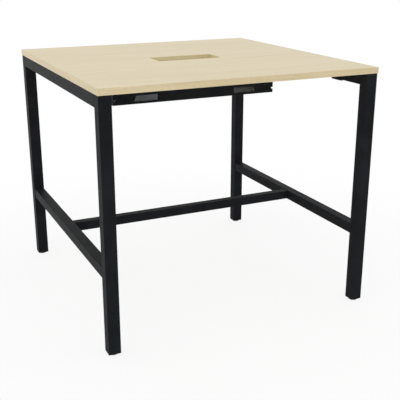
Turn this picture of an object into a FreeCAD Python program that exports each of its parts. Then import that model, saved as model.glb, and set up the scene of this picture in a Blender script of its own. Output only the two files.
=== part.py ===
# Standing meeting table: a square laminate top on a frame of square steel tube.
#
# Two side frames, each of two legs, a top rail and a foot rail, are joined by one crossbar low down
# and by two flat beams under the top. A sheet-metal cable tray hangs under the cut-out in the top,
# and a levelling foot screws into the bottom of each leg.
#
# Frame of the model: +X to the right, +Y to the back, +Z up. The origin is on the floor, under the
# middle of the top, with the four feet screwed fully in. All sizes are in millimetres.
import FreeCAD, Part
import os
import re

import Sketcher

SIZES = {
    # Tabletop: laminated board with glued edge bands, and a cable cut-out in its middle
    "table_width": 1200.0,
    "table_depth": 1200.0,
    "table_height": 1050.0,
    "board_thickness": 25.0,
    "band_thickness": 2.0,
    "band_rounding": 1.0,
    "cutout_length": 300.0,
    "cutout_depth": 125.0,
    # Side frames and crossbar: welded square tube
    "frame_inset": 2.0,
    "leg_side": 50.0,
    "tube_wall": 2.0,
    "tube_rounding": 2.5,
    "top_rail_height": 50.0,
    "foot_rail_width": 45.0,
    "foot_rail_height": 45.0,
    "foot_rail_top": 358.0,
    "crossbar_width": 40.0,
    "crossbar_height": 40.0,
    # Crossbar joint: a spigot on each foot rail, inside the crossbar, and bolts from below
    "spigot_length": 60.0,
    "spigot_wall": 5.0,
    "spigot_clearance": 0.5,
    "spigot_bolt_edge": 20.0,
    "spigot_bolt_spacing": 25.0,
    "spigot_bolt_diameter": 6.0,
    "spigot_bolt_length": 8.0,
    "spigot_bolt_head": 10.5,
    "spigot_bolt_head_height": 3.3,
    "spigot_bolt_head_rounding": 2.8,
    "spigot_bolt_tip": 0.8,
    "spigot_bolt_key": 4.0,
    "spigot_bolt_key_depth": 2.0,
    # Beams under the top, and the folded brackets that hang them on the top rails
    "beam_width": 50.0,
    "beam_height": 30.0,
    "beam_setback": 217.0,
    "bracket_width": 60.0,
    "bracket_sheet": 4.0,
    "bracket_bend": 3.0,
    "bracket_flange": 40.0,
    "bracket_arm": 60.0,
    "bracket_bolt_spacing": 24.0,
    "bolt_diameter": 8.0,
    "bolt_length": 16.0,
    "bolt_head": 14.0,
    "bolt_head_height": 4.4,
    "bolt_head_rounding": 3.9,
    "bolt_tip": 1.0,
    "bolt_key": 5.0,
    "bolt_key_depth": 2.6,
    "rivet_nut_diameter": 11.0,
    "rivet_nut_length": 15.0,
    "rivet_nut_bulge": 14.0,
    "rivet_nut_bulge_height": 3.0,
    # Fixing angles welded to the rails and beams, and the wood screws that hold the top down
    "angle_length": 40.0,
    "angle_reach": 25.0,
    "angle_drop": 15.0,
    "angle_sheet": 3.0,
    "angle_end_distance": 100.0,
    "beam_angle_distance": 300.0,
    "screw_diameter": 4.5,
    "screw_length": 18.0,
    "screw_head": 9.5,
    "screw_head_height": 3.0,
    "screw_head_rounding": 2.2,
    "screw_cross_width": 1.4,
    "screw_cross_span": 5.0,
    "screw_cross_depth": 1.8,
    "screw_tip": 4.0,
    # Cable tray: folded sheet between two end plates that hang it from the top
    "tray_length": 770.0,
    "tray_width": 240.0,
    "tray_drop": 140.0,
    "tray_wall_height": 60.0,
    "tray_sheet": 1.5,
    "tray_bend": 3.0,
    "tray_lip": 10.0,
    "tray_lip_relief": 25.0,
    "tray_side_flange": 18.0,
    "tray_top_flange": 25.0,
    "tray_screw_spacing": 85.0,
    "window_end_distance": 93.0,
    "window_length": 108.0,
    "window_slant": 12.0,
    "window_sill": 12.0,
    "window_height": 24.0,
    "notch_length": 9.0,
    "notch_depth": 14.0,
    "notch_height": 8.0,
    "notch_rise": 16.0,
    # Levelling feet: plastic insert and steel bush in the leg, threaded stem, swivelling pad
    "insert_flange": 3.0,
    "insert_core": 26.0,
    "insert_rib": 2.0,
    "insert_rib_start": 4.0,
    "insert_rib_spacing": 8.0,
    "insert_clearance": 0.2,
    "bush_diameter": 15.0,
    "bush_height": 16.0,
    "bush_cover": 3.0,
    "pad_diameter": 38.0,
    "pad_top_diameter": 30.0,
    "pad_height": 6.6,
    "pad_side_height": 3.6,
    "pad_chamfer": 0.6,
    "pad_sole": 1.6,
    "stem_diameter": 10.0,
    "stem_length": 40.0,
    "stem_tip": 1.0,
    "stem_collar": 14.0,
    "stem_collar_height": 4.0,
    "stem_neck": 8.0,
    "stem_ball": 12.0,
    "stem_ball_height": 2.4,
    # Clearances shared by the pieces that fit together, each measured on the radius
    "hole_clearance": 0.5,
    "thread_clearance": 0.05,
    "running_clearance": 0.08,
    "swivel_clearance": 0.3,
    "swivel_play": 0.2,
}

# Places that several pieces share, as formulas of the sizes
UNDERSIDE = "(table_height - board_thickness)"
LEG_X = "(table_width / 2 - frame_inset - leg_side / 2)"
LEG_Y = "(table_depth / 2 - frame_inset - leg_side / 2)"
INNER_X = f"({LEG_X} - leg_side / 2)"
INNER_Y = f"({LEG_Y} - leg_side / 2)"
LEG_BOTTOM = "(pad_height + insert_flange)"
FOOT_RAIL_INNER_X = f"({LEG_X} - foot_rail_width / 2)"
FOOT_RAIL_MIDDLE = "(foot_rail_top - foot_rail_height / 2)"
SPIGOT_WIDTH = "(crossbar_width - 2 * tube_wall - 2 * spigot_clearance)"
SPIGOT_HEIGHT = "(crossbar_height - 2 * tube_wall - 2 * spigot_clearance)"
BEAM_Y = "(table_depth / 2 - beam_setback)"
RAIL_BOLT_X = f"({INNER_X} + bracket_flange / 2)"
BEAM_BOLT_X = f"({INNER_X} - (bracket_sheet + bracket_arm) / 2)"
RAIL_ANGLE_X = f"({INNER_X} - angle_reach / 2)"
RAIL_ANGLE_Y = "(table_depth / 2 - angle_end_distance)"
BEAM_ANGLE_Y = f"({BEAM_Y} - beam_width / 2 - angle_reach / 2)"
TRAY_BOTTOM = f"({UNDERSIDE} - tray_drop)"
TRAY_SCREW_X = "(tray_length / 2 + tray_top_flange / 2)"
END_PLATE_WIDTH = "(tray_width - 2 * tray_sheet)"
COUNTERBORE_TOP = "(pad_height + stem_collar_height + 3 * swivel_play)"
BUSH_BOTTOM = f"({COUNTERBORE_TOP} + bush_cover)"
BUSH_TOP = f"({BUSH_BOTTOM} + bush_height)"
INSERT_TOP = f"({BUSH_TOP} + bush_cover)"

# How far an edge may be off a direction (in its cosine) or a place (in mm) and still be picked
SLACK = 0.001

SIDES = {"left": -1, "right": 1}
ROWS = {"front": -1, "back": 1}

# Square ribs round each leg insert
RIBS = range(3)

# Sketcher's own numbers for the sketch origin, and for the start, end and centre of a curve
ORIGIN = -1
START, END, CENTRE = range(1, 4)

document = FreeCAD.newDocument("standing_meeting_table")
sheet = document.addObject("Spreadsheet::Sheet", "Sizes")
for row, (size_name, size_value) in enumerate(SIZES.items(), start=1):
    sheet.set(f"A{row}", size_name)
    sheet.set(f"B{row}", str(size_value))
    sheet.setAlias(f"B{row}", size_name)
document.recompute()

nodes = []


# --- Tools for the sketches and features ---------------------------------------------------------

def formula(text):
    """The text with each size name pointed at its cell in the sheet."""
    return re.sub(r"[a-z][a-z_]+", lambda word: point_at_cell(word.group()), str(text))


def point_at_cell(word):
    return f"Sizes.{word}" if word in SIZES else word


def value(text):
    """What a formula comes to with the sheet's present sizes."""
    return float(sheet.evalExpression(formula(text)))


def bind(thing, name, text):
    thing.setExpression(name, formula(text))


def put(thing, place, turn=0):
    """Place a thing at three formulas, turned by some degrees about the vertical."""
    thing.Placement.Rotation = FreeCAD.Rotation(FreeCAD.Vector(0, 0, 1), turn)
    for letter, text in zip("xyz", place):
        bind(thing, f"Placement.Base.{letter}", text)


def new_body(label, place=(0, 0, 0), turn=0):
    body = document.addObject("PartDesign::Body", label)
    body.Label = label
    put(body, place, turn)
    return body


def new_sketch(body, plane, name, lift=0):
    """Empty sketch on one of the body's own planes, moved along that plane's normal by lift."""
    sketch = body.newObject("Sketcher::SketchObject", f"{body.Label}_{name}")
    planes = {feature.Role: feature for feature in body.Origin.OriginFeatures}
    sketch.AttachmentSupport = [(planes[f"{plane}_Plane"], "")]
    sketch.MapMode = "FlatFace"
    bind(sketch, "AttachmentOffset.Base.z", lift)
    return sketch


def hold_point(sketch, curve, point, place):
    """Hold a point of a curve by its two distances from the sketch origin."""
    for kind, text in zip(("DistanceX", "DistanceY"), place):
        rule = Sketcher.Constraint(kind, ORIGIN, START, curve, point, value(text))
        bind(sketch, f"Constraints[{sketch.addConstraint(rule)}]", text)


def outline(body, plane, name, *loops, lift=0):
    """Sketch of closed straight-sided loops, each a list of corners written as formulas."""
    sketch = new_sketch(body, plane, name, lift)
    for corners in loops:
        first = sketch.GeometryCount
        points = [FreeCAD.Vector(value(x), value(y), 0) for x, y in corners]
        followers = points[1:] + points[:1]
        for begin, finish in zip(points, followers):
            sketch.addGeometry(Part.LineSegment(begin, finish), False)
        for number, corner in enumerate(corners):
            after = first + (number + 1) % len(corners)
            sketch.addConstraint(Sketcher.Constraint("Coincident", first + number, END, after, START))
            hold_point(sketch, first + number, START, corner)
    return sketch


def circles(body, plane, name, diameter, centres, lift=0):
    """Sketch of equal circles."""
    sketch = new_sketch(body, plane, name, lift)
    upward = FreeCAD.Vector(0, 0, 1)
    for number, (x, y) in enumerate(centres):
        centre = FreeCAD.Vector(value(x), value(y), 0)
        sketch.addGeometry(Part.Circle(centre, upward, value(diameter) / 2), False)
        hold_point(sketch, number, CENTRE, (x, y))
        rule = Sketcher.Constraint("Diameter", number, value(diameter))
        bind(sketch, f"Constraints[{sketch.addConstraint(rule)}]", diameter)
    return sketch


def rectangle(width, height, x=0, y=0):
    """Corners of a rectangle with its middle at x, y."""
    left, right = f"({x}) - ({width}) / 2", f"({x}) + ({width}) / 2"
    bottom, top = f"({y}) - ({height}) / 2", f"({y}) + ({height}) / 2"
    return [(left, bottom), (right, bottom), (right, top), (left, top)]


def hexagon(across_flats):
    radius = f"({across_flats}) / sqrt(3)"
    return [(f"{radius} * cos({60 * k} deg)", f"{radius} * sin({60 * k} deg)") for k in range(6)]


def cross(width, span):
    """Corners of a plus sign: arms of this width, this far from tip to tip."""
    near, far = f"({width}) / 2", f"({span}) / 2"
    quarter = [(far, near), (near, near), (near, far)]
    corners = []
    for (x, y) in quarter:
        corners.append((x, y))
    for (x, y) in reversed(quarter):
        corners.append((f"-{x}", y))
    for (x, y) in quarter:
        corners.append((f"-{x}", f"-{y}"))
    for (x, y) in reversed(quarter):
        corners.append((x, f"-{y}"))
    return corners


def pad(body, sketch, length):
    """Add material, half of the length on each side of the sketch."""
    feature = body.newObject("PartDesign::Pad", f"{sketch.Name}_pad")
    feature.Profile = sketch
    feature.SideType = "Symmetric"
    bind(feature, "Length", length)
    document.recompute()
    return feature


def cut(body, sketch, length):
    """Take material away, half of the length on each side of the sketch."""
    before = body.Shape.Volume
    feature = body.newObject("PartDesign::Pocket", f"{sketch.Name}_cut")
    feature.Profile = sketch
    feature.SideType = "Symmetric"
    bind(feature, "Length", length)
    document.recompute()
    if body.Shape.Volume >= before:
        raise RuntimeError(f"{sketch.Name} cuts nothing")
    return feature


def turn_round(body, sketch):
    """Solid of revolution about the sketch's upright axis."""
    feature = body.newObject("PartDesign::Revolution", f"{sketch.Name}_turned")
    feature.Profile = sketch
    feature.ReferenceAxis = (sketch, ["V_Axis"])
    feature.Angle = 360
    document.recompute()
    return feature


def round_edges(body, base, radius, wanted):
    """Round the edges of the base feature that the test named wanted picks."""
    names = [f"Edge{number}" for number, edge in enumerate(base.Shape.Edges, start=1) if wanted(edge)]
    feature = body.newObject("PartDesign::Fillet", f"{base.Name}_rounded")
    feature.Base = (base, names)
    bind(feature, "Radius", radius)
    document.recompute()
    return feature


def runs_along(axis):
    """Test for straight edges that run along one of the axes x, y and z."""
    def test(edge):
        direction = edge.tangentAt(edge.FirstParameter)
        return edge.Curve.TypeId == "Part::GeomLine" and abs(getattr(direction, axis)) > 1 - SLACK
    return test


def lies_at(reach, height):
    """Test for edges whose middle is this far to the front or back, at this height."""
    def test(edge):
        middle = edge.CenterOfMass
        return abs(abs(middle.y) - value(reach)) < SLACK and abs(middle.z - value(height)) < SLACK
    return test


def is_rim(diameter, height):
    """Test for round edges of this diameter, at this height."""
    def test(edge):
        if edge.Curve.TypeId != "Part::GeomCircle":
            return False
        misfit = abs(edge.Curve.Radius - value(diameter) / 2) + abs(edge.Curve.Center.z - value(height))
        return misfit < SLACK
    return test


def keep(thing, label=None):
    """Count a finished piece as a node."""
    if label:
        thing.Label = label
    nodes.append(thing)
    return thing


def copies(label, master, places):
    """One node that holds a copy of the master at each place: x, y, z and a turn in degrees."""
    links = []
    for number, (x, y, z, turn) in enumerate(places, start=1):
        link = document.addObject("App::Link", f"{label}_{number}")
        link.LinkedObject = master
        put(link, (x, y, z), turn)
        links.append(link)
    group = document.addObject("Part::Compound", label)
    group.Links = links
    return keep(group, label)


# --- Tabletop ------------------------------------------------------------------------------------

def angle_screw_places():
    """Where the fixing angles' wood screws go up into the board."""
    places = []
    for side in SIDES.values():
        for y in (f"-{RAIL_ANGLE_Y}", 0, RAIL_ANGLE_Y):
            places.append((f"{side} * {RAIL_ANGLE_X}", y))
    for row in ROWS.values():
        for x in ("-beam_angle_distance", 0, "beam_angle_distance"):
            places.append((x, f"{row} * {BEAM_ANGLE_Y}"))
    return places


def tray_screw_places(side):
    """Where one tray end plate's wood screws go up into the board."""
    return [(f"{side} * {TRAY_SCREW_X}", y) for y in ("-tray_screw_spacing", 0, "tray_screw_spacing")]


def make_board():
    """Board with the cable cut-out through it and a pilot hole for each wood screw."""
    middle = f"{UNDERSIDE} + board_thickness / 2"
    board = new_body("tabletop_board", (0, 0, middle))
    width, depth = "table_width - 2 * band_thickness", "table_depth - 2 * band_thickness"
    pad(board, outline(board, "XY", "outline", rectangle(width, depth)), "board_thickness")
    length, gap = "cutout_length + 2 * band_thickness", "cutout_depth + 2 * band_thickness"
    cut(board, outline(board, "XY", "cutout", rectangle(length, gap)), "2 * board_thickness")
    centres = angle_screw_places()
    for side in SIDES.values():
        centres += tray_screw_places(side)
    lift = "screw_length / 2 - board_thickness / 2"
    pilots = circles(board, "XY", "pilots", "screw_diameter + 2 * thread_clearance", centres, lift)
    cut(board, pilots, "screw_length")
    keep(board)


def make_outer_band(label, axis, width, depth, place, sign):
    """Edge band whose outward long edges and corners are rounded over."""
    band = new_body(label, place)
    strip = pad(band, outline(band, "XY", "outline", rectangle(width, depth)), "board_thickness")
    outward = value("band_thickness / 2") * sign
    other = "x" if axis == "y" else "y"

    def is_outward(edge):
        return abs(getattr(edge.CenterOfMass, other) - outward) < SLACK and runs_along(axis)(edge)

    round_edges(band, strip, "band_rounding", is_outward)
    keep(band)


def make_lining(label, width, depth, place):
    """Plain strip of edge band, as high as the board is thick."""
    lining = new_body(label, place)
    pad(lining, outline(lining, "XY", "outline", rectangle(width, depth)), "board_thickness")
    keep(lining)


def make_bands():
    """Bands round the board, the front and back ones over the corners, and round the cut-out."""
    middle = f"{UNDERSIDE} + board_thickness / 2"
    for row_name, row in ROWS.items():
        place = (0, f"{row} * (table_depth - band_thickness) / 2", middle)
        make_outer_band(f"edge_band_{row_name}", "x", "table_width", "band_thickness", place, row)
        place = (0, f"{row} * (cutout_depth + band_thickness) / 2", middle)
        length = "cutout_length + 2 * band_thickness"
        make_lining(f"cutout_band_{row_name}", length, "band_thickness", place)
    for side_name, side in SIDES.items():
        place = (f"{side} * (table_width - band_thickness) / 2", 0, middle)
        depth = "table_depth - 2 * band_thickness"
        make_outer_band(f"edge_band_{side_name}", "y", "band_thickness", depth, place, side)
        place = (f"{side} * (cutout_length + band_thickness) / 2", 0, middle)
        make_lining(f"cutout_band_{side_name}", "band_thickness", "cutout_depth", place)


# --- Frame ---------------------------------------------------------------------------------------

def make_tube(label, axis, width, height, length, place):
    """Rectangular tube along an axis, with rounded long edges, about its own middle."""
    plane = {"x": "YZ", "y": "XZ", "z": "XY"}[axis]
    tube = new_body(label, place)
    bar = pad(tube, outline(tube, plane, "outside", rectangle(width, height)), length)
    round_edges(tube, bar, "tube_rounding", runs_along(axis))
    hollow = rectangle(f"{width} - 2 * tube_wall", f"{height} - 2 * tube_wall")
    cut(tube, outline(tube, plane, "inside", hollow), length)
    return tube


def drill_bottom(tube, height, name, diameter, centres):
    """Round holes through the bottom wall of a level tube."""
    lift = f"tube_wall / 2 - {height} / 2"
    cut(tube, circles(tube, "XY", name, diameter, centres, lift), "2 * tube_wall")


def make_legs():
    length = f"{UNDERSIDE} - {LEG_BOTTOM}"
    middle = f"({UNDERSIDE} + {LEG_BOTTOM}) / 2"
    for row_name, row in ROWS.items():
        for side_name, side in SIDES.items():
            place = (f"{side} * {LEG_X}", f"{row} * {LEG_Y}", middle)
            keep(make_tube(f"leg_{row_name}_{side_name}", "z", "leg_side", "leg_side", length, place))


def bracket_bolt_pair(y):
    """The two bolt places of one bracket, either side of its middle."""
    return [f"{y} - bracket_bolt_spacing / 2", f"{y} + bracket_bolt_spacing / 2"]


def make_rails():
    """Top rails, drilled from below for the beam brackets, and plain foot rails."""
    length = f"2 * {INNER_Y}"
    nut_hole = "rivet_nut_diameter + 2 * thread_clearance"
    for side_name, side in SIDES.items():
        place = (f"{side} * {LEG_X}", 0, f"{UNDERSIDE} - top_rail_height / 2")
        top_rail = make_tube(f"top_rail_{side_name}", "y", "leg_side", "top_rail_height", length, place)
        centres = []
        for row in ROWS.values():
            for y in bracket_bolt_pair(f"{row} * {BEAM_Y}"):
                centres.append((f"{side} * ({RAIL_BOLT_X} - {LEG_X})", y))
        drill_bottom(top_rail, "top_rail_height", "nut_holes", nut_hole, centres)
        keep(top_rail)
        place = (f"{side} * {LEG_X}", 0, FOOT_RAIL_MIDDLE)
        width, height = "foot_rail_width", "foot_rail_height"
        keep(make_tube(f"foot_rail_{side_name}", "y", width, height, length, place))


def spigot_bolt_places():
    """Bolt places along the crossbar, counted outward from its middle on one side."""
    first = f"({FOOT_RAIL_INNER_X} - spigot_bolt_edge)"
    return [first, f"({first} - spigot_bolt_spacing)"]


def make_crossbar():
    """Crossbar between the foot rails, the spigots inside its ends and the bolts from below."""
    crossbar = make_tube("crossbar", "x", "crossbar_width", "crossbar_height", f"2 * {FOOT_RAIL_INNER_X}",
                         (0, 0, FOOT_RAIL_MIDDLE))
    centres = [(f"{side} * {x}", 0) for side in SIDES.values() for x in spigot_bolt_places()]
    hole = "spigot_bolt_diameter + 2 * hole_clearance"
    drill_bottom(crossbar, "crossbar_height", "bolt_holes", hole, centres)
    keep(crossbar)
    spigot_middle = f"({FOOT_RAIL_INNER_X} - spigot_length / 2)"
    for side_name, side in SIDES.items():
        place = (f"{side} * {spigot_middle}", 0, f"{FOOT_RAIL_MIDDLE} - spigot_clearance")
        spigot = new_body(f"crossbar_spigot_{side_name}", place)
        outside = rectangle(SPIGOT_WIDTH, SPIGOT_HEIGHT)
        pad(spigot, outline(spigot, "YZ", "outside", outside), "spigot_length")
        hollow = rectangle(f"{SPIGOT_WIDTH} - 2 * spigot_wall", f"{SPIGOT_HEIGHT} - 2 * spigot_wall")
        cut(spigot, outline(spigot, "YZ", "inside", hollow), "spigot_length")
        holes = [(f"{side} * ({x} - {spigot_middle})", 0) for x in spigot_bolt_places()]
        thread = "spigot_bolt_diameter + 2 * thread_clearance"
        lift = f"spigot_wall / 2 - {SPIGOT_HEIGHT} / 2"
        cut(spigot, circles(spigot, "XY", "threads", thread, holes, lift), "2 * spigot_wall")
        keep(spigot)
    bolt = make_button_bolt("spigot_bolt")
    under_crossbar = f"{FOOT_RAIL_MIDDLE} - crossbar_height / 2"
    copies("crossbar_bolts", bolt, [(x, y, under_crossbar, 0) for x, y in centres])


# --- Fasteners -----------------------------------------------------------------------------------

def make_button_bolt(size):
    """Button-head bolt that points up, its head's bearing face at the origin, with a hexagon socket."""
    bolt = new_body(f"{size}_master")
    head, shank = f"{size}_head / 2", f"{size}_diameter / 2"
    bottom, top = f"-{size}_head_height", f"{size}_length"
    profile = [
        (0, bottom), (head, bottom), (head, 0), (shank, 0), (shank, f"{top} - {size}_tip"),
        (f"{shank} - {size}_tip", top), (0, top),
    ]
    turned = turn_round(bolt, outline(bolt, "XZ", "profile", profile))
    round_edges(bolt, turned, f"{size}_head_rounding", is_rim(f"{size}_head", bottom))
    socket = outline(bolt, "XY", "socket", hexagon(f"{size}_key"), lift=bottom)
    cut(bolt, socket, f"2 * {size}_key_depth")
    return bolt


def make_wood_screw():
    """Pan-head screw that points up, its head's bearing face at the origin, with a cross recess."""
    screw = new_body("screw_master")
    profile = [
        (0, "-screw_head_height"), ("screw_head / 2", "-screw_head_height"), ("screw_head / 2", 0),
        ("screw_diameter / 2", 0), ("screw_diameter / 2", "screw_length - screw_tip"), (0, "screw_length"),
    ]
    turned = turn_round(screw, outline(screw, "XZ", "profile", profile))
    round_edges(screw, turned, "screw_head_rounding", is_rim("screw_head", "-screw_head_height"))
    recess = cross("screw_cross_width", "screw_cross_span")
    cut(screw, outline(screw, "XY", "recess", recess, lift="-screw_head_height"), "2 * screw_cross_depth")
    return screw


def make_rivet_nut():
    """Flush rivet nut: a threaded sleeve up through the tube wall, bulged out above the wall."""
    nut = new_body("rivet_nut_master")
    bore = "bolt_diameter / 2 + thread_clearance"
    outer, bulge = "rivet_nut_diameter / 2", "rivet_nut_bulge / 2"
    profile = [
        (bore, 0), (outer, 0), (outer, "tube_wall"), (bulge, "tube_wall"),
        (bulge, "tube_wall + rivet_nut_bulge_height"), (outer, "tube_wall + rivet_nut_bulge_height"),
        (outer, "rivet_nut_length"), (bore, "rivet_nut_length"),
    ]
    turn_round(nut, outline(nut, "XZ", "profile", profile))
    return nut


def make_fixing_angle():
    """Short angle, welded by its upright leg, with its level leg up against the board."""
    angle = new_body("fixing_angle_master")
    profile = [
        (0, 0), (0, "-angle_drop"), ("-angle_sheet", "-angle_drop"), ("-angle_sheet", "-angle_sheet"),
        ("-angle_reach", "-angle_sheet"), ("-angle_reach", 0),
    ]
    pad(angle, outline(angle, "XZ", "profile", profile), "angle_length")
    hole = circles(angle, "XY", "hole", "screw_diameter + 2 * hole_clearance", [("-angle_reach / 2", 0)])
    cut(angle, hole, "4 * angle_sheet")
    return angle


def make_board_fixings():
    """Fixing angles along the rails and beams, and the wood screws through them and the tray."""
    places = []
    for side in SIDES.values():
        turn = 0 if side > 0 else 180
        for y in (f"-{RAIL_ANGLE_Y}", 0, RAIL_ANGLE_Y):
            places.append((f"{side} * {INNER_X}", y, UNDERSIDE, turn))
    for row in ROWS.values():
        turn = 90 if row > 0 else 270
        for x in ("-beam_angle_distance", 0, "beam_angle_distance"):
            places.append((x, f"{row} * ({BEAM_Y} - beam_width / 2)", UNDERSIDE, turn))
    copies("fixing_angles", make_fixing_angle(), places)
    screw = make_wood_screw()
    under_angle, under_flange = f"{UNDERSIDE} - angle_sheet", f"{UNDERSIDE} - tray_sheet"
    copies("tabletop_screws", screw, [(x, y, under_angle, 0) for x, y in angle_screw_places()])
    tray_places = tray_screw_places(SIDES["left"]) + tray_screw_places(SIDES["right"])
    copies("tray_screws", screw, [(x, y, under_flange, 0) for x, y in tray_places])


# --- Beams under the top -------------------------------------------------------------------------

def make_beams():
    """Flat beams from rail to rail, drilled from below for the bolts of their brackets."""
    nut_hole = "rivet_nut_diameter + 2 * thread_clearance"
    for row_name, row in ROWS.items():
        place = (0, f"{row} * {BEAM_Y}", f"{UNDERSIDE} - beam_height / 2")
        beam = make_tube(f"beam_{row_name}", "x", "beam_width", "beam_height", f"2 * {INNER_X}", place)
        centres = []
        for side in SIDES.values():
            for y in bracket_bolt_pair("0"):
                centres.append((f"{side} * {BEAM_BOLT_X}", y))
        drill_bottom(beam, "beam_height", "nut_holes", nut_hole, centres)
        keep(beam)


def make_bracket(label, place, turn):
    """Z-shaped bracket: its arm lies under the beam, its web runs down the rail's inner face and its
    flange turns back under the rail. The origin is at the rail's lower inner edge."""
    bracket = new_body(label, place, turn)
    step = "(top_rail_height - beam_height)"
    profile = [
        (0, 0), ("bracket_flange", 0), ("bracket_flange", "-bracket_sheet"),
        ("-bracket_sheet", "-bracket_sheet"), ("-bracket_sheet", f"{step} - bracket_sheet"),
        ("-bracket_arm", f"{step} - bracket_sheet"), ("-bracket_arm", step), (0, step),
    ]
    plate = pad(bracket, outline(bracket, "XZ", "profile", profile), "bracket_width")
    outer_bends = [(value("-bracket_sheet"), value("-bracket_sheet")), (0, value(step))]

    def is_outer_bend(edge):
        middle = edge.CenterOfMass
        return any(abs(middle.x - x) + abs(middle.z - z) < SLACK for x, z in outer_bends)

    round_edges(bracket, plate, "bracket_bend", is_outer_bend)
    across = bracket_bolt_pair("0")
    flange_holes = [("bracket_flange / 2", y) for y in across]
    arm_holes = [("-(bracket_sheet + bracket_arm) / 2", y) for y in across]
    hole = "bolt_diameter + 2 * hole_clearance"
    cut(bracket, circles(bracket, "XY", "flange_holes", hole, flange_holes), "4 * bracket_sheet")
    cut(bracket, circles(bracket, "XY", "arm_holes", hole, arm_holes, lift=step), "4 * bracket_sheet")
    keep(bracket)


def make_brackets():
    """A bracket at each end of each beam, with its bolts and the rivet nuts they screw into."""
    bolts, nuts = [], []
    under_rail, under_beam = f"{UNDERSIDE} - top_rail_height", f"{UNDERSIDE} - beam_height"
    for row_name, row in ROWS.items():
        for side_name, side in SIDES.items():
            place = (f"{side} * {INNER_X}", f"{row} * {BEAM_Y}", under_rail)
            make_bracket(f"beam_bracket_{row_name}_{side_name}", place, 0 if side > 0 else 180)
            for y in bracket_bolt_pair(f"{row} * {BEAM_Y}"):
                for x, face in ((RAIL_BOLT_X, under_rail), (BEAM_BOLT_X, under_beam)):
                    bolts.append((f"{side} * {x}", y, f"{face} - bracket_sheet", 0))
                    nuts.append((f"{side} * {x}", y, face, 0))
    copies("bracket_bolts", make_button_bolt("bolt"), bolts)
    copies("rivet_nuts", make_rivet_nut(), nuts)


# --- Cable tray ----------------------------------------------------------------------------------

def notch_corners(sides):
    """Plan of the notch across each corner of the tray, on the sides that are given."""
    loops = []
    for side in sides:
        for row in ROWS.values():
            x, y = f"{side} * (tray_length - notch_length) / 2", f"{row} * (tray_width - notch_depth) / 2"
            loops.append(rectangle("notch_length", "notch_depth", x, y))
    return loops


def window_corners(side):
    """Trapezoid window near one end of a tray wall: its outer edge slants and its foot is longer."""
    outer = "(tray_length / 2 - window_end_distance)"
    inner = f"({outer} - window_length)"
    sill, head = "window_sill", "window_sill + window_height"
    return [
        (f"{side} * {inner}", sill), (f"{side} * {outer}", sill),
        (f"{side} * ({outer} - window_slant)", head), (f"{side} * {inner}", head),
    ]


def make_tray():
    """Folded trough with inward lips, windows in both walls and a notch across each corner."""
    tray = new_body("cable_tray", (0, 0, TRAY_BOTTOM))
    half, inside = "tray_width / 2", "(tray_width / 2 - tray_sheet)"
    trough = [
        (f"-{half}", 0), (half, 0), (half, "tray_wall_height"), (inside, "tray_wall_height"),
        (inside, "tray_sheet"), (f"-{inside}", "tray_sheet"), (f"-{inside}", "tray_wall_height"),
        (f"-{half}", "tray_wall_height"),
    ]
    folded = pad(tray, outline(tray, "YZ", "trough", trough), "tray_length")
    folded = round_edges(tray, folded, "tray_bend", lies_at(half, 0))
    folded = round_edges(tray, folded, "tray_bend - tray_sheet", lies_at(inside, "tray_sheet"))
    lips = []
    for row in ROWS.values():
        y, z = f"{row} * (tray_width - tray_lip) / 2", "tray_wall_height - tray_sheet / 2"
        lips.append(rectangle("tray_lip", "tray_sheet", y, z))
    pad(tray, outline(tray, "YZ", "lips", *lips), "tray_length - 2 * tray_lip_relief")
    windows = [window_corners(side) for side in SIDES.values()]
    cut(tray, outline(tray, "XZ", "windows", *windows), "2 * tray_width")
    corners = notch_corners(SIDES.values())
    notches = outline(tray, "XY", "notches", *corners, lift="notch_rise + notch_height / 2")
    cut(tray, notches, "notch_height")
    keep(tray)


def make_end_plate(side_name, side):
    """End plate: it closes the trough's end between its walls, is clinched to them by two side flanges,
    rises to the board and is screwed up into it through an outward flange."""
    plate = new_body(f"tray_end_plate_{side_name}", (0, 0, TRAY_BOTTOM))
    web_x = f"{side} * (tray_length - tray_sheet) / 2"
    web_middle = "(tray_drop + tray_sheet) / 2"
    web = rectangle(END_PLATE_WIDTH, "tray_drop - tray_sheet", 0, web_middle)
    pad(plate, outline(plate, "YZ", "web", web, lift=web_x), "tray_sheet")
    flange_x = f"{side} * (tray_length - tray_side_flange) / 2"
    flanges = []
    for row in ROWS.values():
        y = f"{row} * ({END_PLATE_WIDTH} - tray_sheet) / 2"
        flanges.append(rectangle("tray_side_flange", "tray_sheet", flange_x, y))
    flange_height = "(tray_wall_height - tray_sheet)"
    lift = f"tray_sheet + {flange_height} / 2"
    pad(plate, outline(plate, "XY", "side_flanges", *flanges, lift=lift), flange_height)
    reliefs = [rectangle("2 * tray_bend", "2 * tray_bend", f"{row} * {END_PLATE_WIDTH} / 2", "tray_sheet")
               for row in ROWS.values()]
    cut(plate, outline(plate, "YZ", "bend_reliefs", *reliefs, lift=flange_x), "2 * tray_side_flange")
    reach = "(tray_top_flange + tray_sheet)"
    top_x = f"{side} * (tray_length / 2 - tray_sheet + {reach} / 2)"
    top = rectangle(reach, END_PLATE_WIDTH, top_x, 0)
    pad(plate, outline(plate, "XY", "top_flange", top, lift="tray_drop - tray_sheet / 2"), "tray_sheet")
    hole = "screw_diameter + 2 * hole_clearance"
    holes = circles(plate, "XY", "screw_holes", hole, tray_screw_places(side), lift="tray_drop")
    cut(plate, holes, "4 * tray_sheet")
    notches = outline(plate, "XY", "notches", *notch_corners([side]), lift="notch_rise + notch_height / 2")
    cut(plate, notches, "notch_height")
    keep(plate)


# --- Levelling feet ------------------------------------------------------------------------------

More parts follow.
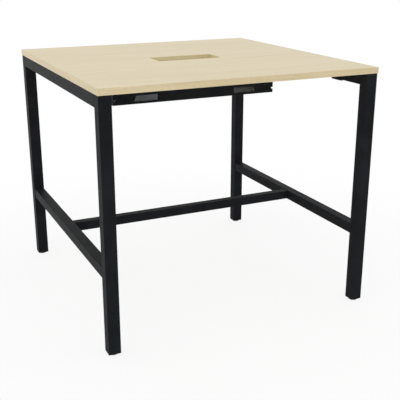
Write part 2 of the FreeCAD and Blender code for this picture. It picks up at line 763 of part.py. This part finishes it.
def make_insert(label, x, y):
    """Plastic insert: a flange under the leg, a ribbed core inside it, a counterbore that hides the
    stem's hexagon and a closed pocket round the steel bush."""
    insert = new_body(label, (x, y, 0))
    flange_middle = "pad_height + insert_flange / 2"
    square = outline(insert, "XY", "flange", rectangle("leg_side", "leg_side"), lift=flange_middle)
    flange = pad(insert, square, "insert_flange")
    round_edges(insert, flange, "tube_rounding", runs_along("z"))
    core_height = f"({INSERT_TOP} - pad_height)"
    middle = f"pad_height + {core_height} / 2"
    pad(insert, circles(insert, "XY", "core", "insert_core", [(0, 0)], lift=middle), core_height)
    rib_side = "leg_side - 2 * tube_wall - 2 * insert_clearance"
    for number in RIBS:
        lift = f"{LEG_BOTTOM} + insert_rib_start + insert_rib / 2 + {number} * insert_rib_spacing"
        rib = outline(insert, "XY", f"rib_{number}", rectangle(rib_side, rib_side), lift=lift)
        pad(insert, rib, "insert_rib")
    bore = "stem_diameter + 2 * swivel_clearance"
    cut(insert, circles(insert, "XY", "bore", bore, [(0, 0)], lift=middle), f"2 * {core_height}")
    counterbore = "stem_collar * 2 / sqrt(3) + 4 * swivel_clearance"
    cut(insert, circles(insert, "XY", "counterbore", counterbore, [(0, 0)], lift="pad_height"),
        f"2 * ({COUNTERBORE_TOP} - pad_height)")
    pocket = circles(insert, "XY", "pocket", "bush_diameter + 2 * thread_clearance", [(0, 0)],
                     lift=f"({BUSH_BOTTOM} + {BUSH_TOP}) / 2")
    cut(insert, pocket, "bush_height")
    keep(insert)


def make_bush():
    """Threaded steel bush, standing at its own height on the foot's axis."""
    bush = new_body("bush_master")
    bore, outer = "stem_diameter / 2 + running_clearance", "bush_diameter / 2"
    profile = [(bore, BUSH_BOTTOM), (outer, BUSH_BOTTOM), (outer, BUSH_TOP), (bore, BUSH_TOP)]
    turn_round(bush, outline(bush, "XZ", "profile", profile))
    return bush


def make_stem(label, x, y):
    """Levelling stem: a flat button held in the pad, a neck, a hexagon to turn it by and the thread."""
    stem = new_body(label, (x, y, 0))
    button_bottom = "(pad_sole + swivel_play)"
    button_top = f"({button_bottom} + stem_ball_height)"
    collar_bottom = "(pad_height + swivel_play)"
    collar_top = f"({collar_bottom} + stem_collar_height)"
    top = f"({collar_top} + stem_length)"
    radius, neck, button = "stem_diameter / 2", "stem_neck / 2", "stem_ball / 2"
    profile = [
        (0, button_bottom), (button, button_bottom), (button, button_top), (neck, button_top),
        (neck, collar_top), (radius, collar_top), (radius, f"{top} - stem_tip"),
        (f"{radius} - stem_tip", top), (0, top),
    ]
    turn_round(stem, outline(stem, "XZ", "profile", profile))
    collar_middle = f"({collar_bottom} + {collar_top}) / 2"
    collar = outline(stem, "XY", "collar", hexagon("stem_collar"), lift=collar_middle)
    pad(stem, collar, "stem_collar_height")
    keep(stem)


def make_pad(label, x, y):
    """Round foot pad with a socket, open at the top, that the stem's button turns in."""
    foot = new_body(label, (x, y, 0))
    edge, top = "pad_diameter / 2", "pad_top_diameter / 2"
    neck = "stem_neck / 2 + swivel_clearance"
    socket = "stem_ball / 2 + swivel_clearance"
    socket_top = "pad_sole + stem_ball_height + 2 * swivel_play"
    profile = [
        (0, 0), (f"{edge} - pad_chamfer", 0), (edge, "pad_chamfer"), (edge, "pad_side_height"),
        (top, "pad_height"), (neck, "pad_height"), (neck, socket_top), (socket, socket_top),
        (socket, "pad_sole"), (0, "pad_sole"),
    ]
    turn_round(foot, outline(foot, "XZ", "profile", profile))
    keep(foot)


def make_feet():
    """One levelling foot under each leg."""
    bushes = []
    for row_name, row in ROWS.items():
        for side_name, side in SIDES.items():
            x, y = f"{side} * {LEG_X}", f"{row} * {LEG_Y}"
            corner = f"{row_name}_{side_name}"
            make_insert(f"leg_insert_{corner}", x, y)
            make_stem(f"foot_stem_{corner}", x, y)
            make_pad(f"foot_pad_{corner}", x, y)
            bushes.append((x, y, 0, 0))
    copies("insert_bushes", make_bush(), bushes)


# --- The whole table -----------------------------------------------------------------------------

make_board()
make_bands()
make_legs()
make_rails()
make_crossbar()
make_beams()
make_brackets()
make_board_fixings()
make_tray()
for end_name, end in SIDES.items():
    make_end_plate(end_name, end)
make_feet()
document.recompute()

for thing in document.Objects:
    if "Invalid" in thing.State or "Error" in thing.State:
        raise RuntimeError(f"{thing.Label} did not recompute: {thing.State}")
for node in nodes:
    if node.Shape.isNull() or not node.Shape.isValid() or not node.Shape.Solids:
        raise RuntimeError(f"{node.Label} is not a sound solid")

os.makedirs("parts", exist_ok=True)
for node in nodes:
    node.Shape.exportStep(f"parts/{node.Label}.step")
print(f"{len(nodes)} nodes, {sum(len(node.Shape.Solids) for node in nodes)} solids")
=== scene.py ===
# Standing meeting table: finishes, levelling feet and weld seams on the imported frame, studio and camera.
import math

import bpy
import numpy as np
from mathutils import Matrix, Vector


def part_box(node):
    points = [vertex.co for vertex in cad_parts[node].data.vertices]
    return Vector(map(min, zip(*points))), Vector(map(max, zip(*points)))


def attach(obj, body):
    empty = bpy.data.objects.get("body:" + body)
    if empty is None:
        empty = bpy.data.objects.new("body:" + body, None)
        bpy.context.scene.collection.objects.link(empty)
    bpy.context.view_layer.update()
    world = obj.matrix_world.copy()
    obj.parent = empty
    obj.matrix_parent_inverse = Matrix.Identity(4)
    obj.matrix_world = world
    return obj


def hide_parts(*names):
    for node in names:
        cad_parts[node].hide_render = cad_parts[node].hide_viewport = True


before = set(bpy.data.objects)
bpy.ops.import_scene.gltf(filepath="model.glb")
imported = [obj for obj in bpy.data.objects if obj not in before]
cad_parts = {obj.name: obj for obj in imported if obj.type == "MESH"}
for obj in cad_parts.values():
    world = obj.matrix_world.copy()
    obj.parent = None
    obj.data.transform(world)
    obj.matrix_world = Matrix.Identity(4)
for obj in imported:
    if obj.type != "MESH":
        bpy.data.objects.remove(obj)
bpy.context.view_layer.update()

MM = 0.001
QUARTER_TURN = math.pi / 2
CORNERS = ("front_left", "front_right", "back_left", "back_right")
# How far the board's rim lies from the middle of the table, along x and along y alike
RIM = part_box("tabletop_board")[1].x


# --- Shader nodes --------------------------------------------------------------------------------

def linear(hex_colour):
    """Linear RGBA of an sRGB hex colour. A share c is c / 12.92 up to 0.04045, and above that it is
    ((c + 0.055) / 1.055) ** 2.4."""
    shares = np.array([int(hex_colour[k:k + 2], 16) for k in (1, 3, 5)]) / 255
    low, high = shares / 12.92, ((shares + 0.055) / 1.055) ** 2.4
    return (*np.where(shares <= 0.04045, low, high).tolist(), 1.0)


def add(tree, kind, inputs=None, **settings):
    """Add a node with its own settings, and give each named input a value or a link from a socket."""
    made = tree.nodes.new(kind)
    for name, setting in settings.items():
        setattr(made, name, setting)
    for name, given in (inputs or {}).items():
        if isinstance(given, bpy.types.NodeSocket):
            tree.links.new(given, made.inputs[name])
        else:
            made.inputs[name].default_value = given
    return made


def calculate(tree, operation, *terms):
    """Result of one sum or comparison of up to three terms."""
    return add(tree, "ShaderNodeMath", dict(enumerate(terms)), operation=operation).outputs[0]


def remap(tree, given, low, high, new_low=0.0, new_high=1.0, **settings):
    """Carry a value from the range low to high over to new_low to new_high, and hold it at both ends."""
    return add(tree, "ShaderNodeMapRange", {
        "Value": given, "From Min": low, "From Max": high, "To Min": new_low, "To Max": new_high,
    }, **settings).outputs["Result"]


def mix_colours(tree, share, first, second):
    """The first colour where the share is 0, and the second where it is 1."""
    mixed = add(tree, "ShaderNodeMix", {"Factor": share, "A": first, "B": second}, data_type="RGBA")
    return mixed.outputs["Result"]


def per_metre(size_mm):
    """How many times a pattern of this size repeats in a metre, which is a texture's scale."""
    return 1 / (size_mm * MM)


def own_place(tree):
    """Each point's place in its piece, in metres."""
    return add(tree, "ShaderNodeTexCoord").outputs["Object"]


def noise(tree, place, size_mm, detail):
    """Cloudy noise between 0 and 1, with marks of about this size."""
    return add(tree, "ShaderNodeTexNoise", {
        "Vector": place, "Scale": per_metre(size_mm), "Detail": detail,
    }).outputs["Fac"]


def relief(tree, height, strength, depth_mm):
    """Normals of a surface that rises by depth_mm where the height goes from 0 to 1. A strength below 1
    draws it fainter."""
    return add(tree, "ShaderNodeBump", {
        "Height": height, "Strength": strength, "Distance": depth_mm * MM,
    }).outputs["Normal"]


def new_material(name):
    """An empty material and its node tree, whose surface is still to be linked."""
    material = bpy.data.materials.new(name)
    material.use_nodes = True
    material.node_tree.nodes.clear()
    return material, material.node_tree


def finish_material(tree, shader):
    """Link a shader to the surface of a new material."""
    tree.links.new(shader.outputs[0], add(tree, "ShaderNodeOutputMaterial").inputs["Surface"])


# --- Finishes ------------------------------------------------------------------------------------

# The maple print's layers: length and width of the marks in mm, detail, distortion and share of the tone
PRINT_LAYERS = {
    "figure": (700, 70, 3.0, 0.6, 0.35),
    "streak": (140, 5, 2.0, 0.2, 0.45),
    "fleck": (14, 2.5, 0.0, 0.0, 0.20),
}
GLUE_LINE_MM = 0.8
# The range that most values of a noise lie in
USUAL_NOISE = (0.3, 0.7)


def maple_decor(name, pale, deep, figure_turn, roughness, glue_colour=None):
    """Maple printed on paper under clear melamine or acrylic. The eye gets a pale, even yellow-white with
    long faint streaks and a satin sheen. The fibres are 0.5 mm wide in wood; here they are 5 mm, so that
    they show. The glue line round the board's rim is 0.2 mm wide in wood; here it is 0.8 mm."""
    material, tree = new_material(name)
    place = own_place(tree)
    turned = add(tree, "ShaderNodeMapping", {"Vector": place, "Rotation": (0, 0, figure_turn)})
    marks, tone = {}, 0.0
    for layer, (length, width, detail, distortion, share) in PRINT_LAYERS.items():
        stretched = add(tree, "ShaderNodeMapping", {
            "Vector": turned.outputs["Vector"],
            "Scale": (per_metre(length), per_metre(width), per_metre(width)),
        })
        marks[layer] = add(tree, "ShaderNodeTexNoise", {
            "Vector": stretched.outputs["Vector"], "Scale": 1.0, "Detail": detail, "Roughness": 0.55,
            "Distortion": distortion,
        }).outputs["Fac"]
        tone = calculate(tree, "MULTIPLY_ADD", marks[layer], share, tone)
    colour = mix_colours(tree, remap(tree, tone, low=0.32, high=0.68), linear(deep), linear(pale))
    if glue_colour:
        apart = add(tree, "ShaderNodeVectorMath", {0: place}, operation="ABSOLUTE").outputs["Vector"]
        across = add(tree, "ShaderNodeSeparateXYZ", {"Vector": apart})
        reach = calculate(tree, "MAXIMUM", across.outputs["X"], across.outputs["Y"])
        glued = calculate(tree, "GREATER_THAN", reach, RIM - GLUE_LINE_MM * MM)
        colour = mix_colours(tree, glued, colour, linear(glue_colour))
    swing = 0.04
    sheen = remap(tree, marks["streak"], 0.2, 0.8, roughness - swing, roughness + swing)
    emboss = noise(tree, place, size_mm=1.5, detail=1.0)
    height = calculate(tree, "ADD", marks["streak"], emboss)
    finish_material(tree, add(tree, "ShaderNodeBsdfPrincipled", {
        "Base Color": colour, "Roughness": sheen, "IOR": 1.5,
        "Normal": relief(tree, height, strength=0.25, depth_mm=0.1),
    }))
    return material


def black_polyester(name, painted_pale_inside=None, middle=None):
    """Black polyester, baked on steel with a fine texture. The eye gets a deep matt grey-black whose faces
    turn paler where they are seen aslant. The grain is 0.3 mm in the coat; here it is 2 mm, so that it
    shows. Given a pale colour and a middle, the faces that look towards that middle are painted the pale
    colour: painted light, which makes the shaded inside of a folded piece look lit."""
    material, tree = new_material(name)
    place = own_place(tree)
    cloud = noise(tree, place, size_mm=90, detail=2.0)
    grain = noise(tree, place, size_mm=2, detail=2.0)
    mottle = calculate(tree, "MULTIPLY_ADD", grain, 0.7, calculate(tree, "MULTIPLY", cloud, 0.3))
    tone = remap(tree, mottle, low=0.38, high=0.62)
    colour = mix_colours(tree, tone, linear("#161719"), linear("#26272a"))
    # Painted light: faces that look towards the middle get the pale grey, which lifts the shade inside the
    # folded piece
    if painted_pale_inside:
        inwards = add(tree, "ShaderNodeVectorMath", {0: middle, 1: place}, operation="SUBTRACT")
        facing = add(tree, "ShaderNodeNewGeometry").outputs["True Normal"]
        turned_in = add(tree, "ShaderNodeVectorMath", {0: inwards.outputs["Vector"], 1: facing},
                        operation="DOT_PRODUCT").outputs["Value"]
        inside = calculate(tree, "GREATER_THAN", turned_in, 0.0)
        colour = mix_colours(tree, inside, colour, linear(painted_pale_inside))
    roughness, swing = 0.42, 0.06
    gloss = remap(tree, grain, *USUAL_NOISE, roughness - swing, roughness + swing)
    finish_material(tree, add(tree, "ShaderNodeBsdfPrincipled", {
        "Base Color": colour, "Roughness": gloss, "IOR": 1.5, "Specular IOR Level": 0.022,
        "Normal": relief(tree, grain, strength=0.6, depth_mm=0.8),
    }))
    return material


def zinc_plate(name):
    """Bright zinc, plated in a barrel on turned steel. The eye gets a cool silver with soft grey clouds and
    a slightly blurred shine. The clouds are 6 mm, their real size."""
    material, tree = new_material(name)
    cloud = noise(tree, own_place(tree), size_mm=6, detail=3.0)
    finish_material(tree, add(tree, "ShaderNodeBsdfPrincipled", {
        "Base Color": mix_colours(tree, cloud, linear("#a9adb3"), linear("#c9cbcc")),
        "Metallic": 1.0, "Roughness": remap(tree, cloud, *USUAL_NOISE, new_low=0.26, new_high=0.42),
    }))
    return material


def moulded_nylon(name):
    """Black glass-filled nylon, injection moulded in a spark-eroded tool. The eye gets a dull black with a
    fine even grain. The grain is 0.2 mm on the part; here it is 1 mm, so that it shows."""
    material, tree = new_material(name)
    grain = noise(tree, own_place(tree), size_mm=1, detail=2.0)
    finish_material(tree, add(tree, "ShaderNodeBsdfPrincipled", {
        "Base Color": mix_colours(tree, grain, linear("#121212"), linear("#1a1a1b")),
        "Roughness": 0.6, "IOR": 1.53, "Specular IOR Level": 0.25,
        "Normal": relief(tree, grain, strength=0.4, depth_mm=0.1),
    }))
    return material


BOARD_ROUGHNESS, BAND_ROUGHNESS = 0.45, 0.36
EDGING_COLOURS = ("#dfcfa9", "#c7b489")

melamine = maple_decor("melamine_maple", "#e8dab9", "#d5c69d", 0, BOARD_ROUGHNESS, glue_colour="#b79f6c")
edging_along_x = maple_decor("abs_edging_maple_x", *EDGING_COLOURS, 0, BAND_ROUGHNESS)
edging_along_y = maple_decor("abs_edging_maple_y", *EDGING_COLOURS, QUARTER_TURN, BAND_ROUGHNESS)
# Painted light: the cut-out's lining is a shade paler than the edging outside, which lifts the shade in the
# hole, and paler still at its two ends
lining_painted_light_x = maple_decor("abs_lining_maple_painted_light_x", "#ebddae", "#d2c08e", 0, BAND_ROUGHNESS)
lining_painted_light_y = maple_decor("abs_lining_maple_painted_light_y", "#f1e4b8", "#dac998", QUARTER_TURN, BAND_ROUGHNESS)
black_coat = black_polyester("powder_coat_black")
tray_low, tray_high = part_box("cable_tray")
# The tray's inside is painted pale grey, as painted light in the shaded trough
tray_coat_painted_pale_inside = black_polyester("tray_coat_black_painted_pale_inside", "#8890a0", (tray_low + tray_high) / 2)
zinc = zinc_plate("zinc_plate_bright")
nylon = moulded_nylon("nylon_black_moulded")

ZINC_NODES = (
    "bracket_bolts", "rivet_nuts", "tabletop_screws", "tray_screws", "crossbar_bolts", "insert_bushes",
)


def finish_of(node_name):
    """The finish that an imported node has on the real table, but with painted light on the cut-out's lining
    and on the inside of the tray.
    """
    if node_name == "tabletop_board":
        return melamine
    if "_band_" in node_name:
        along_x = node_name.endswith(("front", "back"))
        if node_name.startswith("cutout"):
            # The cut-out's lining gets the paler maple, which is painted light in the shaded hole
            return lining_painted_light_x if along_x else lining_painted_light_y
        return edging_along_x if along_x else edging_along_y
    if node_name in ZINC_NODES or node_name.startswith("foot_stem"):
        return zinc
    if node_name.startswith(("leg_insert", "foot_pad")):
        return nylon
    return tray_coat_painted_pale_inside if node_name == "cable_tray" else black_coat


for node_name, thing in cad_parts.items():
    thing.data.materials.clear()
    thing.data.materials.append(finish_of(node_name))


# --- New pieces ----------------------------------------------------------------------------------

SHARP_EDGE = math.radians(35)


def add_piece(name, points, faces, material, body):
    """A mesh from an array of points and a list of faces, at the origin, smooth but for its sharp edges."""
    mesh = bpy.data.meshes.new(name)
    mesh.from_pydata(points.tolist(), [], faces)
    mesh.shade_smooth()
    mesh.set_sharp_from_angle(angle=SHARP_EDGE)
    mesh.materials.append(material)
    piece = bpy.data.objects.new(name, mesh)
    bpy.context.scene.collection.objects.link(piece)
    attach(piece, body)
    return piece


def ring_faces(rows, columns):
    """Four-sided faces of a grid of points that closes round its columns, and a flat face over each end."""
    row, column = np.meshgrid(np.arange(rows - 1), np.arange(columns), indexing="ij")
    here, beside = row * columns + column, row * columns + (column + 1) % columns
    sides = np.stack([here, beside, beside + columns, here + columns], axis=-1).reshape(-1, 4)
    bottom = np.arange(columns)[::-1]
    top = np.arange(columns) + (rows - 1) * columns
    return sides.tolist() + [bottom.tolist(), top.tolist()]


def turned_points(radius, height, columns):
    """Points round an upright axis: x = radius cos(turn), y = radius sin(turn), z = height, for a radius
    that is one number a row, or one number a row and column."""
    turn = np.linspace(0, 2 * np.pi, columns, endpoint=False)
    radius = np.broadcast_to(radius if radius.ndim == 2 else radius[:, None], (len(height), columns))
    rise = np.broadcast_to(height[:, None], radius.shape)
    return np.stack([radius * np.cos(turn), radius * np.sin(turn), rise], axis=-1).reshape(-1, 3)


def levelling_stem(corner, x, y):
    """Levelling stem with a real M10 x 1.5 thread. With d the distance from a crest along the axis in
    pitches, found from height / pitch - turn / (2 pi), the radius is 5 mm up to d = 1/16, falls evenly to
    4.08 mm at d = 6/16 and stays there. The thread grows out of its root over the first pitch, and its tip
    is chamfered. The hexagon's radius is 7 mm / cos(turn from the middle of a flat), held in by its
    chamfers. Below the hexagon a neck holds the round button that sits in the pad's socket."""
    columns, rows_per_pitch = 48, 12
    pitch, crest, root = 1.5, 5.0, 4.08
    top, tip_chamfer = 50.8, 1.0
    collar_low, collar_high, collar_chamfer = 6.8, 10.8, 0.5
    half_flats, end_circle, past_corners = 7.0, 7.3, 8.1
    neck, button = 4.0, 6.0
    button_low, button_high, button_chamfer = 1.8, 4.2, 0.4
    turn = np.linspace(0, 2 * np.pi, columns, endpoint=False)
    held_end = np.array([
        [button - button_chamfer, button_low], [button, button_low + button_chamfer],
        [button, button_high - button_chamfer], [button - button_chamfer, button_high],
        [neck, button_high],
    ])
    collar_height = np.array([
        collar_low, collar_low, collar_low + collar_chamfer, collar_high - collar_chamfer, collar_high,
    ])
    held_in = np.array([neck, end_circle, past_corners, past_corners, end_circle])
    from_flat = np.mod(turn + np.pi / 6, np.pi / 3) - np.pi / 6
    collar = np.minimum(half_flats / np.cos(from_flat)[None, :], held_in[:, None])
    height = np.arange(collar_high, top + 1e-9, pitch / rows_per_pitch)
    phase = np.mod(height[:, None] / pitch - turn[None, :] / (2 * np.pi), 1)
    fall = np.clip((np.abs(phase - 0.5) - 1 / 16) / (5 / 16), 0, 1)
    thread = crest - (crest - root) * fall
    grown = np.clip((height - collar_high) / pitch, 0, 1)[:, None]
    held_tip = crest - np.clip(height - (top - tip_chamfer), 0, tip_chamfer)[:, None]
    thread = np.minimum(root + (thread - root) * grown, held_tip)
    radius = np.concatenate([np.broadcast_to(held_end[:, :1], (len(held_end), columns)), collar, thread])
    rise = np.concatenate([held_end[:, 1], collar_height, height])
    points = turned_points(radius, rise, columns) * MM + np.array([x, y, 0])
    piece = add_piece(f"levelling_stem_{corner}", points, ring_faces(len(rise), columns), zinc,
                      f"stem_{corner}")
    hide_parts(f"foot_stem_{corner}")


def rounded(profile, radii, steps=5):
    """A profile whose corners are rounded: each corner c with radius r becomes a curve from c + r a to
    c + r b, where a and b are the directions towards the points before and after it, bent as (1 - t)^2,
    2 t (1 - t) and t^2 shares of the three. Points that fall on each other are dropped."""
    profile, radii = np.asarray(profile, float), np.asarray(radii, float)[:, None]
    before, after = np.roll(profile, 1, axis=0) - profile, np.roll(profile, -1, axis=0) - profile
    before /= np.linalg.norm(before, axis=1, keepdims=True)
    after /= np.linalg.norm(after, axis=1, keepdims=True)
    t = np.linspace(0, 1, steps)[None, :, None]
    bend = (profile + before * radii, profile, profile + after * radii)
    start, corner, end = [points[:, None, :] for points in bend]
    curve = ((1 - t) ** 2 * start + 2 * t * (1 - t) * corner + t ** 2 * end).reshape(-1, 2)
    step = np.linalg.norm(curve - np.roll(curve, 1, axis=0), axis=1)
    return curve[step > 1e-6]


def levelling_pad(corner, x, y):
    """Foot pad turned from a profile in mm: a sole with two ring grooves, a rounded rim, a sloping
    shoulder, and the socket that holds the stem's button. The profile starts and ends near the axis, where
    flat faces close it. Each of its points is a radius, a height and the rounding of that corner."""
    columns = 72
    hub, top = 2.0, 6.6
    rim, rim_chamfer, side, shoulder = 19.0, 0.6, 3.6, 15.0
    mouth, lip, socket, socket_floor = 4.3, 4.4, 6.3, 1.6
    groove_starts, groove_width, groove_depth, groove_slope = (7.0, 11.5), 2.0, 0.5, 0.3
    crisp, rim_rounding, mouth_rounding, shoulder_rounding = 0.1, 0.25, 0.3, 0.7
    groove = (
        (0, 0), (groove_slope, groove_depth), (groove_width - groove_slope, groove_depth), (groove_width, 0),
    )
    grooves = [(start + across, depth, crisp) for start in groove_starts for across, depth in groove]
    outline = np.array([
        (hub, 0, 0), *grooves, (rim - rim_chamfer, 0, rim_rounding), (rim, rim_chamfer, rim_rounding),
        (rim, side, shoulder_rounding), (shoulder, top, shoulder_rounding), (mouth, top, mouth_rounding),
        (mouth, lip, crisp), (socket, lip, crisp), (socket, socket_floor, crisp), (hub, socket_floor, 0),
    ])
    profile = rounded(outline[:, :2], outline[:, 2])
    points = turned_points(profile[:, 0], profile[:, 1], columns) * MM + np.array([x, y, 0])
    piece = add_piece(f"levelling_pad_{corner}", points, ring_faces(len(profile), columns), nylon,
                      f"foot_{corner}")
    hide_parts(f"foot_pad_{corner}")


for corner in CORNERS:
    low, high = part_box(f"foot_pad_{corner}")
    middle = (low + high) / 2
    levelling_stem(corner, middle.x, middle.y)
    levelling_pad(corner, middle.x, middle.y)


def fillet_weld(start, end, wall, floor, size=3.5, ripple=2.5):
    """Weld bead in the corner of two faces, from start to end, in mm. Its reach from the corner is size
    times the mean of a straight fillet's 1 / (cos a + sin a) and a round one's 1, for a from 0 on one face
    to a quarter turn on the other. The reach falls by one part in ten over every ripple mm and then starts
    anew, and it is rounded off at both ends. The last column of points lies sunk behind the corner, which
    closes the bead."""
    row_spacing, columns = 0.8, 7
    ripple_share, thinnest_squared, sunk_depth = 0.1, 0.02, 0.2
    start, end, wall, floor = [np.asarray(vector, float) for vector in (start, end, wall, floor)]
    length = np.linalg.norm(end - start)
    along = np.linspace(0, length, int(length / row_spacing))
    angle = np.linspace(0, np.pi / 2, columns)
    from_end = np.minimum(along, length - along)
    taper = np.sqrt(np.clip(1 - (1 - from_end / size).clip(0) ** 2, thinnest_squared, 1))
    wave = 1 - ripple_share * np.mod(along / ripple, 1)
    bulge = 0.5 + 0.5 / (np.cos(angle) + np.sin(angle))
    reach = size * (taper * wave)[:, None] * bulge[None, :]
    line = (start + (end - start) * (along / length)[:, None])[:, None, :]
    outwards = np.cos(angle)[None, :, None] * wall + np.sin(angle)[None, :, None] * floor
    skin = line + reach[..., None] * outwards
    sunk = line - sunk_depth * (wall + floor)
    return np.concatenate([skin, sunk], axis=1)


def weld_frame(side_name):
    """Beads of one side frame: under the top rail, and under and over the foot rail, against both legs."""
    end_gap = 3
    beads, faces = [], []
    for rail, level in (("top_rail", -1), ("foot_rail", -1), ("foot_rail", 1)):
        low, high = [np.array(corner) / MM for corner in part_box(f"{rail}_{side_name}")]
        z = high[2] if level > 0 else low[2]
        for row in (-1, 1):
            y = high[1] if row > 0 else low[1]
            start, end = (low[0] + end_gap, y, z), (high[0] - end_gap, y, z)
            bead = fillet_weld(start, end, wall=(0, -row, 0), floor=(0, 0, level))
            first = sum(len(points) for points in beads)
            turned_over = level * row > 0
            for face in ring_faces(*bead.shape[:2]):
                faces.append([first + k for k in (face[::-1] if turned_over else face)])
            beads.append(bead.reshape(-1, 3))
    add_piece(f"weld_beads_{side_name}", np.concatenate(beads) * MM, faces, black_coat, "table")


for side_name in ("left", "right"):
    weld_frame(side_name)


# --- Studio --------------------------------------------------------------------------------------

def pale_rays(tree, in_mirrors):
    """How much of the white backdrop a ray sees: all of it straight from the camera and through glass, and
    the given share in reflections."""
    path = add(tree, "ShaderNodeLightPath")
    mirrored = calculate(tree, "MULTIPLY", path.outputs["Is Glossy Ray"], in_mirrors)
    seen = calculate(tree, "MAXIMUM", path.outputs["Is Camera Ray"], mirrored)
    return calculate(tree, "MAXIMUM", seen, path.outputs["Is Transmission Ray"])


def lay_floor():
    """Pale floor, open from below. From above it is mostly clear to the white backdrop and part lit floor,
    which keeps the table's soft shadow and still shows a foot that is screwed out below it. From fade_start
    to fade_end metres out it turns fully clear, so that it has no visible edge."""
    half, albedo = 4.0, 0.95
    fade_start, fade_end = 0.9, 2.2
    clear_near_table, clear_in_mirrors = 0.84, 0.1
    mesh = bpy.data.meshes.new("studio_floor")
    outline = [(-half, -half, 0), (half, -half, 0), (half, half, 0), (-half, half, 0)]
    mesh.from_pydata(outline, [], [(0, 1, 2, 3)])
    floor = bpy.data.objects.new("studio_floor", mesh)
    bpy.context.scene.collection.objects.link(floor)
    material, tree = new_material("studio_floor_white")
    reach = add(tree, "ShaderNodeVectorMath", {0: own_place(tree)}, operation="LENGTH").outputs["Value"]
    clear_share = remap(tree, reach, fade_start, fade_end, clear_near_table, 1.0,
                        interpolation_type="SMOOTHSTEP")
    from_above = calculate(tree, "MULTIPLY", pale_rays(tree, clear_in_mirrors), clear_share)
    below = add(tree, "ShaderNodeNewGeometry").outputs["Backfacing"]
    see_through = calculate(tree, "MAXIMUM", from_above, below)
    lit = add(tree, "ShaderNodeBsdfDiffuse", {"Color": (albedo, albedo, albedo, 1)})
    clear = add(tree, "ShaderNodeBsdfTransparent")
    finish_material(tree, add(tree, "ShaderNodeMixShader", {
        0: see_through, 1: lit.outputs[0], 2: clear.outputs[0],
    }))
    floor.data.materials.append(material)


def light_world(horizon, zenith):
    """White backdrop for the camera and for reflections. Everything else gets a softer sky, which is
    brighter low down, so that the legs under the far side of the top aren't lost in shade."""
    world = bpy.data.worlds.new("studio_world")
    world.use_nodes = True
    bpy.context.scene.world = world
    tree = world.node_tree
    tree.nodes.clear()
    direction = add(tree, "ShaderNodeTexCoord").outputs["Generated"]
    rise = add(tree, "ShaderNodeSeparateXYZ", {"Vector": direction}).outputs["Z"]
    sky_level = remap(tree, rise, 0.0, 1.0, horizon, zenith)
    strength = remap(tree, pale_rays(tree, 1.0), 0.0, 1.0, sky_level, 1.0)
    sky = add(tree, "ShaderNodeBackground", {"Color": (1, 1, 1, 1), "Strength": strength})
    tree.links.new(sky.outputs[0], add(tree, "ShaderNodeOutputWorld").inputs["Surface"])


def hang_softbox(name, place, side, watts):
    """Square softbox at a place, aimed at the middle of the table."""
    table_middle = np.array([0, 0, 0.6])
    lamp = bpy.data.lights.new(name, "AREA")
    lamp.shape = "SQUARE"
    lamp.size = side
    lamp.energy = watts
    softbox = bpy.data.objects.new(name, lamp)
    bpy.context.scene.collection.objects.link(softbox)
    aim = table_middle - np.array(place)
    tilt = math.acos(-aim[2] / np.linalg.norm(aim))
    turn = math.atan2(aim[1], aim[0])
    softbox.location = place
    softbox.rotation_euler = (tilt, 0, turn - QUARTER_TURN)


def set_camera(place, tilt, turn, lens, sensor):
    """Camera at a place in metres, tilted up from straight down and turned from the y axis, in degrees,
    with its lens and the width of its sensor in mm."""
    camera = bpy.data.cameras.new("camera")
    camera.sensor_width = sensor
    camera.lens = lens
    stand = bpy.data.objects.new("camera", camera)
    bpy.context.scene.collection.objects.link(stand)
    stand.location = place
    stand.rotation_euler = (math.radians(tilt), 0, math.radians(turn))
    bpy.context.scene.camera = stand


lay_floor()
light_world(horizon=0.95, zenith=0.84)
hang_softbox("softbox_left", (-3.2, -1.6, 3.2), side=2.4, watts=10)
hang_softbox("softbox_front", (-0.6, -4.4, 2.4), side=2.4, watts=8)
set_camera((-1.3584, -3.0535, 1.500), tilt=71.46, turn=-25.11, lens=66.76, sensor=36.0)
bpy.context.scene.view_settings.view_transform = "Standard"
